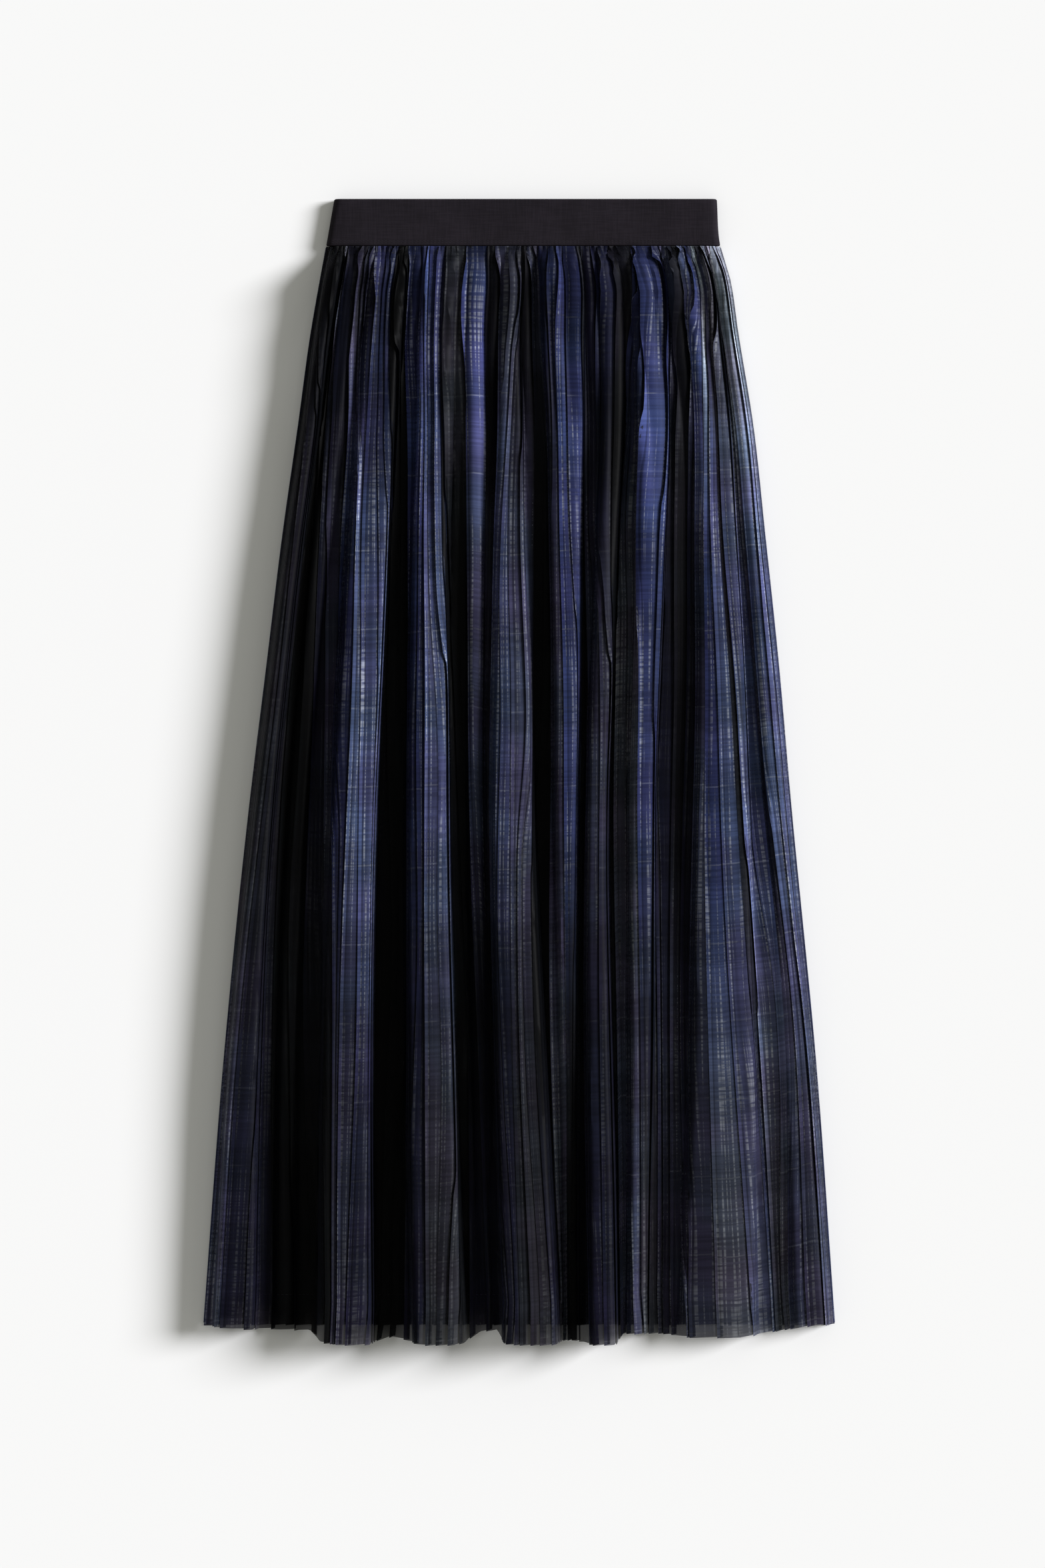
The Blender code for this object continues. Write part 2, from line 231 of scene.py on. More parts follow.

# Each panel's ribbons of colour from left to right, each one or more pleats wide and as long as the
# skirt. A ribbon has a tone at the waist, the middle and the hem, which is partly its woven colour
# and partly the painted shade and painted light of the folds. It gets its own painted light or shade
# a little below the waist and above the hem, and ends on its right at an X on each of the five
# stations. The last one ends at the side seam.
WAIST_TONE_END, WAIST_TONE_REACH = 0.08, 0.27
HEM_TONE_START, HEM_TONE_REACH = 0.50, 0.40
# How far down from the band the gathers' painted light and shade reach
SEAM_SHADING_REACH = 0.018
UPPER_LIGHT_REACH = 0.075
LOWER_LIGHT_REACH = 0.120
BAND_STATIONS = (0.080, 0.200, 0.455, 0.683, 0.928)
Band = namedtuple(
    "Band", "waist middle hem upper_light lower_light waist_x upper_x middle_x lower_x hem_x"
)
WARP_BANDS = (
    Band("soot", "ash", "smoke", DIM, LIT, -0.1681, -0.1818, -0.2103, -0.2360, -0.2531),
    Band("soot", "soot", "ink", LIT, LIT, -0.1590, -0.1733, -0.1989, -0.2103, -0.2103),
    Band("black", "black", "black", DEEP, GLINT, -0.1556, -0.1647, -0.1778, -0.1847, -0.1761),
    Band("fog", "ink", "black", DIM, LIT, -0.1510, -0.1607, -0.1664, -0.1664, -0.1647),
    Band("ink", "slate", "black", DIM, DIM, -0.1408, -0.1476, -0.1579, -0.1590, -0.1596),
    Band("slate", "navy", "ink", GLINT, DIM, -0.1322, -0.1362, -0.1442, -0.1528, -0.1550),
    Band("ink", "bright", "slate", GLINT, DIM, -0.1220, -0.1305, -0.1357, -0.1385, -0.1471),
    Band("navy", "steel", "ink", SOFT, LIT, -0.1106, -0.1094, -0.1191, -0.1243, -0.1237),
    Band("black", "black", "black", SOFT, DIM, -0.0963, -0.0952, -0.0952, -0.0952, -0.0980),
    Band("navy", "navy", "ink", GLINT, SOFT, -0.0792, -0.0804, -0.0804, -0.0804, -0.0792),
    Band("indigo", "steel", "ash", EVEN, SOFT, -0.0667, -0.0661, -0.0604, -0.0553, -0.0507),
    Band("ink", "black", "black", DEEP, GLINT, -0.0633, -0.0638, -0.0541, -0.0450, -0.0422),
    Band("ash", "black", "ink", CLEAR, SOFT, -0.0496, -0.0445, -0.0427, -0.0365, -0.0279),
    Band("indigo", "smoke", "ink", CLEAR, DEEP, -0.0285, -0.0279, -0.0313, -0.0251, -0.0137),
    Band("soot", "slate", "soot", DEEP, DEEP, -0.0154, -0.0177, -0.0245, -0.0211, -0.0125),
    Band("slate", "steel", "ink", CLEAR, DEEP, 0.0000, -0.0068, -0.0068, -0.0063, 0.0006),
    Band("soot", "smoke", "ash", LIT, DIM, 0.0103, 0.0131, 0.0114, 0.0125, 0.0274),
    Band("slate", "black", "ink", SOFT, DEEP, 0.0188, 0.0245, 0.0274, 0.0262, 0.0348),
    Band("navy", "slate", "fog", DIM, GLINT, 0.0308, 0.0336, 0.0382, 0.0399, 0.0416),
    Band("indigo", "indigo", "black", CLEAR, SOFT, 0.0536, 0.0536, 0.0524, 0.0496, 0.0496),
    Band("ash", "black", "black", DEEP, GLINT, 0.0559, 0.0559, 0.0587, 0.0559, 0.0604),
    Band("ink", "slate", "ink", DIM, EVEN, 0.0650, 0.0667, 0.0690, 0.0684, 0.0718),
    Band("navy", "slate", "ink", DEEP, SOFT, 0.0844, 0.0809, 0.0787, 0.0804, 0.0838),
    Band("soot", "black", "black", DEEP, GLINT, 0.0963, 0.0889, 0.0815, 0.0832, 0.0861),
    Band("indigo", "fog", "smoke", SOFT, EVEN, 0.1077, 0.1049, 0.1015, 0.1032, 0.1043),
    Band("indigo", "indigo", "ash", CLEAR, DIM, 0.1265, 0.1277, 0.1168, 0.1180, 0.1180),
    Band("smoke", "ink", "slate", DEEP, LIT, 0.1339, 0.1339, 0.1317, 0.1288, 0.1288),
    Band("soot", "soot", "slate", EVEN, GLINT, 0.1448, 0.1454, 0.1419, 0.1374, 0.1419),
    Band("sky", "ink", "slate", DEEP, EVEN, 0.1476, 0.1516, 0.1522, 0.1465, 0.1442),
    Band("indigo", "smoke", "slate", GLINT, SOFT, 0.1556, 0.1579, 0.1585, 0.1607, 0.1676),
    Band("silver", "indigo", "fog", CLEAR, LIT, 0.1596, 0.1624, 0.1704, 0.1801, 0.1972),
    Band("ink", "steel", "smoke", GLINT, EVEN, 0.1630, 0.1681, 0.1830, 0.1978, 0.2149),
    Band("ash", "ash", "steel", EVEN, SOFT, 0.1659, 0.1704, 0.1870, 0.2029, 0.2177),
    Band("fog", "steel", "fog", EVEN, GLINT, 0.1699, 0.1830, 0.2046, 0.2257, 0.2314),
    Band("silver", "slate", "smoke", LIT, EVEN, 0.1721, 0.1870, 0.2080, 0.2326, 0.2440),
    Band("silver", "bright", "slate", GLINT, EVEN, 0.1767, 0.1938, 0.2172, 0.2400, 0.2582),
    Band("silver", "steel", "smoke", LIT, EVEN, 0.1900, 0.2050, 0.2400, 0.2600, 0.2800),
)

CHECK_REPEAT = 0.066
# Painted light below the lining's hem, standing in for the pale floor showing through the sheer cloth
HEM_STRIP_LIGHT = (0.0200, 0.0190, 0.0230)
CLOTH_ALPHA = 0.84

# Sheer cloth. At each pleat's crease the cloth has a painted highlight along its edge and a thin
# line of painted shade a little in from it, and painted shade up to the next crease. Each pair is
# where the change begins and where it ends, in metres.
LIT_EDGE = (0.0024, 0.0030)
LIT_EDGE_GAIN, FLAT_GAIN = 0.75, 0.92
GROOVE_AT = 0.0036
GROOVE_EDGE = (0.0003, 0.0009)
GROOVE_SHADE_STRENGTH = 0.40
UP_TO_NEXT_CREASE = (0.0002, 0.0018)
LIGHT_AT_NEXT_CREASE = 0.45

# The check's thin pale line and its light zone, in shares of the repeat from the line, and how
# bright the pale threads are
LINE_EDGE = (0.006, 0.013)
LIGHT_ZONE_EDGE = (0.18, 0.38)
THREAD_GLOW = 1.65
LINE_GLOW = 0.55
THREAD_COLOUR = (0.84, 0.88, 0.88)
GREEN_CAST, PURPLE_CAST = (0.88, 1.05, 0.98), (1.05, 0.98, 1.03)

# The camera looks straight down. Its frame is this tall on the floor and has this point in its middle.
VIEW_HEIGHT = 1.341
VIEW_CENTRE = (0.00285, -0.0107)
CAMERA_HEIGHT = 8.0
SENSOR_HEIGHT_MM = 36.0

# A wide soft sun stands low at the right and a little toward the waist, in even light from all round.
SUN_ENERGY = 5.12
SUN_COLOUR = (1.0, 1.0, 1.034)
SUN_WIDTH = radians(23)
SUN_FROM_UPRIGHT = radians(63)
SUN_TOWARD_WAIST = radians(15)
AIR_COLOUR = (1.0, 1.0, 0.92, 1.0)
AIR_STRENGTH = 0.31
FLOOR_REACH = 6.0
FLOOR_COLOUR = (0.90, 0.90, 0.895, 1.0)


# ---------------------------------------------------------------- curves of the cloth


def smooth_step(t):
    """0 below 0, 1 above 1, and an even S in between."""
    t = np.clip(t, 0.0, 1.0)
    return t * t * (3.0 - 2.0 * t)


def curve_through(stations, values, where):
    """A smooth curve through values at stations, which are in rising order."""
    stations = np.asarray(stations, float)
    values = np.asarray(values, float)
    slopes = np.gradient(values, stations, axis=0)
    where = np.clip(where, stations[0], stations[-1])
    left = np.clip(np.searchsorted(stations, where, side="right") - 1, 0, len(stations) - 2)
    span = stations[left + 1] - stations[left]
    t = (where - stations[left]) / span
    return (
        (2 * t**3 - 3 * t**2 + 1) * values[left]
        + (t**3 - 2 * t**2 + t) * span * slopes[left]
        + (3 * t**2 - 2 * t**3) * values[left + 1]
        + (t**3 - t**2) * span * slopes[left + 1]
    )


def side_seams(down):
    """X of the left and right side seams at a distance down."""
    stations = [side.down for side in OUTLINE]
    left = curve_through(stations, [side.left for side in OUTLINE], down)
    right = curve_through(stations, [side.right for side in OUTLINE], down)
    return float(left), float(right)


def share_across(x, down):
    left, right = side_seams(down)
    return (x - left) / (right - left)


def world_y(down):
    return SKIRT_LENGTH / 2 - down


def fold_at(fold, down):
    """A fold's crest across the panel, half its width and its rise, at a distance down."""
    stations = (WAIST_STATION, MIDDLE_STATION, HEM_STATION)
    shares = [
        share_across(x, at)
        for x, at in zip((fold.waist_x, fold.middle_x, fold.hem_x), stations)
    ]
    halves = (fold.waist_half, fold.middle_half, fold.hem_half)
    rises = (fold.waist_rise, fold.middle_rise, fold.hem_rise)
    left, right = side_seams(down)
    crest = left + (right - left) * curve_through(stations, shares, down)
    fading = smooth_step((down - SEAM_DOWN) / FOLD_START)
    return crest, curve_through(stations, halves, down), fading * curve_through(stations, rises, down)


class Section:
    """The line of the cloth across the skirt at one distance down, without its pleats."""

    def __init__(self, down, level, folded):
        self.down = down
        self.left, self.right = side_seams(down)
        self.x = np.linspace(self.left, self.right, CURVE_SAMPLES)
        self.z = np.full(CURVE_SAMPLES, level)
        if folded:
            self.z += SEAM_LIFT * (1.0 - smooth_step((down - SEAM_DOWN) / SEAM_LIFT_REACH))
            self.raise_folds()
            self.raise_gathers()
            self.raise_puckers()
        steps = np.hypot(np.diff(self.x), np.diff(self.z))
        self.along = np.concatenate([[0.0], np.cumsum(steps)])
        slope = np.gradient(self.z, self.x)
        across = np.hypot(1.0, slope)
        self.normal_x = -slope / across
        self.normal_z = 1.0 / across

    def raise_folds(self):
        flank = np.interp(self.down, (WAIST_STATION, HEM_STATION), (FLANK_AT_WAIST, FLANK_AT_HEM))
        for fold in FOLDS:
            crest, half, rise = fold_at(fold, self.down)
            from_crest = self.x - crest
            rounded = 1.0 - CREST_ROUNDING * np.clip(from_crest / half, -1.0, 1.0) ** 2
            self.z += rise * rounded * smooth_step((half + flank / 2 - np.abs(from_crest)) / flank)
        from_side = np.minimum(self.x - self.left, self.right - self.x)
        self.z = SIDE_SEAM_LEVEL + (self.z - SIDE_SEAM_LEVEL) * smooth_step(from_side / SIDE_ROLL)

    def raise_gathers(self):
        start = smooth_step((self.down - SEAM_DOWN) / GATHER_START)
        for gather in GATHERS:
            ran = (self.down - WAIST_STATION) / (gather.fades_at - WAIST_STATION)
            middle = self.left + (self.right - self.left) * share_across(gather.x, WAIST_STATION)
            middle += gather.drift * ran
            fading = (self.down - GATHER_FULL_TO) / (gather.fades_at - GATHER_FULL_TO)
            reach = 1.0 - smooth_step(fading)
            from_crest = np.clip((self.x - middle) / (2 * gather.half), -1.0, 1.0)
            self.z += gather.rise * start * reach * np.cos(from_crest * pi / 2) ** 2

    def raise_puckers(self):
        """Small waves close under the band, uneven in pitch and in size."""
        under_seam = max(0.0, self.down - SEAM_DOWN)
        pucker = PUCKER_RISE * np.exp(-under_seam / PUCKER_REACH)
        bend = 2.2 * np.sin(self.x * 61.0) + 1.7 * np.sin(self.x * 137.0 + 1.0)
        size = 0.7 + 0.3 * np.sin(self.x * 97.0 + 0.5)
        self.z += pucker * size * (1.0 + np.sin(2 * pi * self.x / PUCKER_PITCH + bend))

    def length(self):
        return self.along[-1]

    def along_at_x(self, x):
        return np.interp(x, self.x, self.along)

    def x_at(self, along):
        return np.interp(along, self.along, self.x)

    def z_at(self, along):
        return np.interp(along, self.along, self.z)

    def point(self, along, height):
        """X and Z of points that stand a height off the cloth's line."""
        x = self.x_at(along) + np.interp(along, self.along, self.normal_x) * height
        z = self.z_at(along) + np.interp(along, self.along, self.normal_z) * height
        return x, z


# ---------------------------------------------------------------- pleated panels


def wandering(rng, count, downs, step):
    """Random values from -1 to 1 for each pleat, which change slowly down the skirt."""
    stations = np.arange(SEAM_DOWN - step, SKIRT_LENGTH + 2 * step, step)
    knots = rng.uniform(-1.0, 1.0, (len(stations), count))
    return np.array([curve_through(stations, knots, down) for down in downs])


def band_edges(down):
    """X of the ribbons' edges at a distance down, with the two side seams."""
    left, right = side_seams(down)
    edges = [left]
    for band in WARP_BANDS[:-1]:
        places = (band.waist_x, band.upper_x, band.middle_x, band.lower_x, band.hem_x)
        shares = [share_across(x, at) for x, at in zip(places, BAND_STATIONS)]
        edges.append(left + (right - left) * float(curve_through(BAND_STATIONS, shares, down)))
    edges = np.array([*edges, right])
    widths = np.diff(edges)
    pull = GATHER_PULL * np.sin(2.4 * np.arange(1, len(widths)) + 0.7)
    reach = np.exp(-max(0.0, down - SEAM_DOWN) / GATHER_PULL_REACH)
    edges[1:-1] += pull * reach * np.minimum(widths[:-1], widths[1:])
    return edges


def pleats_in_bands(level, folded):
    """How many pleats lie in each ribbon: by its cloth on the middle station, and at least one."""
    section = Section(MIDDLE_STATION, level, folded)
    lengths = np.diff(section.along_at_x(band_edges(MIDDLE_STATION)))
    wanted = PLEATS * lengths / lengths.sum()
    counts = np.maximum(1, np.floor(wanted)).astype(int)
    while counts.sum() != PLEATS:
        step = 1 if counts.sum() < PLEATS else -1
        short = step * (wanted - counts)
        short[counts + step < 1] = -PLEATS
        counts[np.argmax(short)] += step
    return counts


class PleatPlan:
    """Where a panel's pleats lie and how each one stands, all down the skirt."""

    def __init__(self, seed, folded, level, hem_down):
        rng = np.random.RandomState(seed)
        self.folded = folded
        self.level = level
        self.hem_down = hem_down
        rows = np.linspace(0.0, 1.0, PANEL_ROWS) ** ROW_CROWDING
        self.downs = SEAM_DOWN + (hem_down - SEAM_DOWN) * rows
        under_seam = self.downs - SEAM_DOWN
        fall = smooth_step(under_seam / SPREAD_REACH)[:, None]
        spread = SPREAD_AT_WAIST + (SPREAD_AT_HEM - SPREAD_AT_WAIST) * fall
        change = WANDER * wandering(rng, PLEATS, self.downs, WANDER_STEP)
        self.widths = np.exp(spread * rng.normal(0.0, 1.0, PLEATS) + change)
        gathered = GATHERED_LIFT * np.exp(-under_seam / GATHERED_REACH)
        tucked = TUCKED_AT_SEAM + (1.0 - TUCKED_AT_SEAM) * smooth_step(under_seam / TUCK_REACH)
        change = 1.0 + LIFT_WANDER * wandering(rng, PLEATS, self.downs, LIFT_WANDER_STEP)
        self.lifts = ((PLEAT_LIFT + gathered) * tucked)[:, None] * change
        self.lifts *= np.exp(rng.normal(0.0, LIFT_WANDER, PLEATS))
        counts = pleats_in_bands(level, folded)
        self.first_in_band = np.concatenate([[0], np.cumsum(counts)])
        self.band = np.repeat(np.arange(len(counts)), counts)
        # How strongly the painted highlight shines on each pleat's crease; each ribbon's first pleat
        # shines most
        self.edge_light = 0.45 * rng.uniform(0.0, 1.0, PLEATS) ** 2
        self.edge_light[self.first_in_band[:-1]] = rng.uniform(0.65, 1.0, len(counts))
        self.tone_change = np.exp(rng.normal(0.0, 0.10, PLEATS))
        self.waist_change = np.exp(rng.normal(0.0, 0.30, PLEATS))
        # Painted light and shade of the small gathers close under the band, lighter or darker from pleat
        # to pleat
        self.seam_painted_shading = np.exp(rng.normal(0.0, 0.50, PLEATS))
        self.hem_share = rng.uniform(0.0, 1.0, PLEATS) ** 1.5
        self.slip = rng.uniform(-0.003, 0.003, PLEATS)

    def creases_along(self, row, section):
        """How far along each outer crease lies. The ribbons' edges are always creases."""
        places = section.along_at_x(band_edges(section.down))
        creases = []
        for first, last, start, end in zip(
            self.first_in_band, self.first_in_band[1:], places, places[1:]
        ):
            widths = self.widths[row, first:last]
            creases += list(end - (end - start) * np.cumsum(widths[::-1])[::-1] / widths.sum())
        return np.array([*creases, section.length()])


def pleat_path(plan, row, section, facing):
    """One row of a pleated panel, as columns: along, height, pleat number, share of the face, and
    the distances from its own crease and to the next one. The creases point left."""
    creases = plan.creases_along(row, section)
    length = section.length()
    underlay = (PLEAT_CUT - length / PLEATS) / 2
    widths = np.diff(creases)
    from_side = np.minimum(creases[:-1], length - creases[:-1])
    upright = 0.3 + 0.7 * np.minimum(1.0, from_side / FLATTENED_NEAR_SIDE)
    lifts = np.minimum(plan.lifts[row], 0.0006 + 0.5 * widths) * upright
    path = []
    for number in range(PLEATS):
        outer, after = creases[number], creases[number + 1]
        inner = min(length, after + underlay)
        for t in FACE_STEPS:
            along = outer + (inner - outer) * t
            shown = (along - outer) / widths[number]
            height = lifts[number] * (1.0 - 0.8 * min(1.0, shown)) ** 1.4
            height *= 1.0 if t < 1.0 else 0.5
            height += PLEAT_BELLY * sin(pi * min(1.0, shown))
            path.append((along, facing * height, number, t, along - outer, after - along))
        if number == PLEATS - 1:
            break
        for t in RETURN_STEPS:
            along = inner + (after - inner) * t
            height = lifts[number + 1] * t**3
            path.append((along, facing * height, number, 1.0 + t, along - outer, after - along))
    return np.array(path).T


def painted_shading_at(down):
    """How much painted light or painted shade makes each ribbon lighter or darker at a distance down."""
    upper = np.array([band.upper_light for band in WARP_BANDS]) - 1.0
    lower = np.array([band.lower_light for band in WARP_BANDS]) - 1.0
    near_upper = np.exp(-(((down - BAND_STATIONS[1]) / UPPER_LIGHT_REACH) ** 2))
    near_lower = np.exp(-(((down - BAND_STATIONS[3]) / LOWER_LIGHT_REACH) ** 2))
    return (1.0 + upper * near_upper) * (1.0 + lower * near_lower)


def lining_hem_wave(x):
    """How far the lining's hem hangs above or below its mean line."""
    return 0.0030 * np.sin(41.0 * x + 0.6) + 0.0022 * np.sin(97.0 * x + 2.0)


def cloth_colours(plan, pleat, face, down, x):
    """The cloth's colour at each point of a row, with its painted light and shade, and in the fourth
    column how strongly the painted highlight on its crease shines.
    """
    waist, middle, hem = (
        np.log([TONES[getattr(band, place)] for band in WARP_BANDS])[plan.band]
        for place in ("waist", "middle", "hem")
    )
    to_waist = 1.0 - smooth_step((down - WAIST_TONE_END) / WAIST_TONE_REACH)
    to_hem = smooth_step((down - HEM_TONE_START) / HEM_TONE_REACH)
    logs = middle + to_waist * (waist - middle) + to_hem * (hem - middle)
    # Close under the band each pleat gets the gathers' painted light or shade
    at_seam = np.exp(-(down - SEAM_DOWN) / SEAM_SHADING_REACH)
    gain = plan.tone_change * plan.waist_change**to_waist * plan.seam_painted_shading**at_seam
    # each ribbon's painted light or painted shade
    gain *= painted_shading_at(down)[plan.band]
    colours = (np.exp(logs) * gain[:, None])[pleat]
    # Where each pleat turns back under the next one it is painted darker: painted shade
    colours *= (1.0 - 0.5 * smooth_step((face - 1.1) / 0.3))[:, None]
    if plan.folded:
        # Below the lining's hem, painted light for the pale floor showing through, uneven from pleat to
        # pleat
        edge = FRONT_LINING_HEM_DOWN - 0.004 + lining_hem_wave(x)
        strip = smooth_step((down - edge) / 0.003) * plan.hem_share[pleat]
        colours += strip[:, None] * np.array(HEM_STRIP_LIGHT)
    return np.concatenate([colours, plan.edge_light[pleat][:, None]], axis=1)


def hem_line(x):
    return np.interp(x, [hem.x for hem in FRONT_HEM], [hem.down for hem in FRONT_HEM])


def pleated_panel(name, plan, facing, material):
    """A pleated sheet with its colours, a map of the cut cloth and a map of each pleat."""
    hem_section = Section(HEM_STATION, plan.level, plan.folded)
    hem_x = None
    points, colours, cloth, creases = [], [], [], []
    for row in reversed(range(PANEL_ROWS)):
        down = plan.downs[row]
        section = hem_section if down > HEM_STATION else Section(down, plan.level, plan.folded)
        along, height, pleat, face, from_edge, to_edge = pleat_path(plan, row, section, facing)
        pleat = pleat.astype(int)
        x, z = section.point(along, height)
        share = (down - SEAM_DOWN) / (plan.hem_down - SEAM_DOWN)
        on_top = np.where(face <= 1.0, 1.0 - face, face - 1.0)
        if hem_x is None:
            hem_x = x
        hem = (hem_line(hem_x) if plan.folded else plan.hem_down) + HEM_POINT * on_top
        y = world_y(SEAM_DOWN + share * (hem - SEAM_DOWN))
        points.append(np.stack([x, y, np.maximum(z, 0.0001)], axis=1))
        colours.append(cloth_colours(plan, pleat, face, down, x))
        cut = (pleat + np.where(face <= 1.0, face * 0.76, 0.76 + (face - 1.0) * 0.24)) * PLEAT_CUT
        cloth.append(np.stack([cut, down + plan.slip[pleat]], axis=1))
        creases.append(np.stack([from_edge, to_edge], axis=1))
    maps = {"cloth": np.array(cloth[::-1]), "pleat": np.array(creases[::-1])}
    return grid_piece(name, np.array(points[::-1]), material, maps, np.array(colours[::-1]))


def grid_piece(name, points, material, maps, colours=None, facing=1):
    """A sheet from a grid of points, rows from the waist and columns from the left."""
    rows, columns, _ = points.shape
    index = np.arange(rows * columns).reshape(rows, columns)
    corners = (index[:-1, :-1], index[1:, :-1], index[1:, 1:], index[:-1, 1:])
    faces = np.stack([corner.ravel() for corner in corners[::facing]], axis=1)
    mesh = bpy.data.meshes.new(name)
    mesh.from_pydata(points.reshape(-1, 3).tolist(), [], faces.tolist())
    loops = np.empty(len(mesh.loops), np.int32)
    mesh.loops.foreach_get("vertex_index", loops)
    for map_name, places in maps.items():
        layer = mesh.uv_layers.new(name=map_name)
        layer.data.foreach_set("uv", places.reshape(-1, 2)[loops].ravel())
    if colours is not None:
        attribute = mesh.color_attributes.new("warp_tone", "FLOAT_COLOR", "POINT")
        attribute.data.foreach_set("color", colours.ravel())
    mesh.materials.append(material)
    mesh.shade_smooth()
    mesh.set_sharp_from_angle(angle=radians(50))
    return link(bpy.data.objects.new(name, mesh))


def link(obj):
    bpy.context.scene.collection.objects.link(obj)
    return obj


def make_front_panel(material):
    plan = PleatPlan(seed=7, folded=True, level=FRONT_LEVEL, hem_down=FRONT_HEM[0].down)
    piece = pleated_panel("front_cloth", plan, 1, material)
    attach(piece, "root")
    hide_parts("front_panel")


def make_back_panel(material):
    plan = PleatPlan(seed=19, folded=False, level=BACK_MIDDLE, hem_down=BACK_HEM_DOWN)
    plan.lifts = np.minimum(plan.lifts, BACK_MOST_LIFT)
    piece = pleated_panel("back_cloth", plan, -1, material)
    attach(piece, "root")
    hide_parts("back_panel")


# ---------------------------------------------------------------- lining


def lining_sheet(name, level, first_down, last_down, rise, material):
    """A plain lining sheet with a slight unevenness."""
    rows, columns = 90, 70
    points = []
    for down in np.linspace(first_down, last_down, rows):
        left, right = side_seams(down)
        x = np.linspace(left + LINING_INSET, right - LINING_INSET, columns)
        ripple = rise * (np.sin(x * 61 + down * 5) * np.sin(x * 23 - down * 3 + 1.2))
        hem = max(0.0, (down - 0.90) / (last_down - 0.90))
        y = world_y(down + lining_hem_wave(x) * hem)
        points.append(np.stack([x, y, level + ripple], axis=1))
    points = np.array(points)
    maps = {"cloth": np.stack([points[..., 0], -points[..., 1]], axis=2)}
    return grid_piece(name, points, material, maps)


def make_lining(side, level, hem_down, body_material, hem_material, stitch_material):
    piece = lining_sheet(f"{side}_lining_cloth", level, SEAM_DOWN, hem_down, 0.0003, body_material)
    hem = lining_sheet(
        f"{side}_lining_hem", level + 0.0004, hem_down - TURNED_HEM, hem_down, 0.0003, hem_material
    )
    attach(piece, "root")
    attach(hem, "root")
    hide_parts(f"{side}_lining")
    left, right = side_seams(hem_down)
    down = hem_down - TURNED_HEM + 0.001
    left, right = side_seams(down)
    route = [
        (x, world_y(down), level + 0.0008)
        for x in np.linspace(left + LINING_INSET + 0.002, right - LINING_INSET - 0.002, ROUTE_POINTS)
    ]
    row = stitch_row(f"{side}_lining_hem_stitches", route, LINING_STITCH, stitch_material)
    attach(row, "root")


# ---------------------------------------------------------------- waistband


def band_ring(down, inset, left, right):
    """A flattened loop round both layers of the band, held in from its outside."""
    radius = BAND_THICKNESS / 2 - inset
    middle = BAND_THICKNESS / 2
    steps = 10
    ring = []
    for end_x, start in ((right - inset - radius, -pi / 2), (left + inset + radius, pi / 2)):
        other_x = left + right - end_x
        for step in range(steps + 1):
            turn = start + pi * step / steps
            ring.append((end_x + radius * cos(turn), middle + radius * sin(turn)))
        for step in range(1, 40):
            x = end_x + (other_x - end_x) * step / 40
            ring.append((x, middle + radius * (1.0 if start < 0 else -1.0)))
    return [(x, world_y(down), z) for x, z in ring]


def make_waistband(material):
    """The covered elastic: a flattened ring whose edges are softly rounded."""
    rounding = ((0.0000, 0.0009), (0.0003, 0.0004), (0.0009, 0.0001), (0.0018, 0.0))
    outside = list(rounding)
    outside += [(0.0018 + (BAND_HEIGHT - 0.0036) * step / 12, 0.0) for step in range(1, 12)]
    outside += [(BAND_HEIGHT - down, inset) for down, inset in reversed(rounding)]
    rings = [band_ring(down, inset, *side_seams(down)) for down, inset in outside]
    for down, inset in reversed(outside[:4] + outside[-4:]):
        rings.append(band_ring(down, BAND_WALL - inset, *side_seams(down)))
    count = len(rings[0])
    faces = []
    for ring in range(len(rings)):
        after = (ring + 1) % len(rings)
        for point in range(count):
            beside = (point + 1) % count
            corners = (ring, point), (ring, beside), (after, beside), (after, point)
            faces.append([row * count + column for row, column in corners])
    mesh = bpy.data.meshes.new("covered_elastic_band")
    mesh.from_pydata([point for ring in rings for point in ring], [], faces)
    mesh.materials.append(material)
    mesh.shade_smooth()
    mesh.set_sharp_from_angle(angle=radians(60))
    piece = link(bpy.data.objects.new("covered_elastic_band", mesh))
    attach(piece, "root")
    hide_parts("waistband")


def make_band_stitches(material):
    """Two rows that hold the skirt to the elastic, close to the band's lower edge."""
    for number, down in enumerate(BAND_STITCH_ROWS):
        left, right = side_seams(down)
        route = [
            (x, world_y(down), BAND_THICKNESS + 0.00005)
            for x in np.linspace(left + 0.005, right - 0.005, ROUTE_POINTS)
        ]
        row = stitch_row(f"band_stitches_{number + 1}", route, BAND_STITCH, material)
        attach(row, "root")


def make_side_seams(material):
    """The narrow rolled seams that join the front cloth to the back cloth."""
    for side in ("left", "right"):
        rows, columns = 70, 9
        points = []
        outward = -1 if side == "left" else 1
        for down in np.linspace(SEAM_DOWN + 0.001, BACK_HEM_DOWN - 0.001, rows):
            left, right = side_seams(down)
            edge = left if side == "left" else right
            turns = np.linspace(pi / 2 + 0.5, -pi / 2 - 0.5, columns)
            middle = edge - outward * SIDE_ROLL_INSET
            x = middle + outward * SIDE_ROLL_HALF_WIDTH * np.cos(turns)
            z = SIDE_ROLL_LEVEL + SIDE_ROLL_HALF_HEIGHT * np.sin(turns)
            points.append(np.stack([x, np.full(columns, world_y(down)), z], axis=1))
        points = np.array(points)
        cloth = np.stack([points[..., 2], -points[..., 1]], axis=2)
        maps = {"cloth": cloth, "pleat": np.full(cloth.shape, 0.01)}
        colours = np.broadcast_to((*TONES["indigo"], 0.0), (rows, columns, 4))
        facing = -1 if side == "left" else 1
        piece = grid_piece(f"{side}_side_seam", points, material, maps, colours, facing)
        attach(piece, "root")


# ---------------------------------------------------------------- stitches by Geometry Nodes


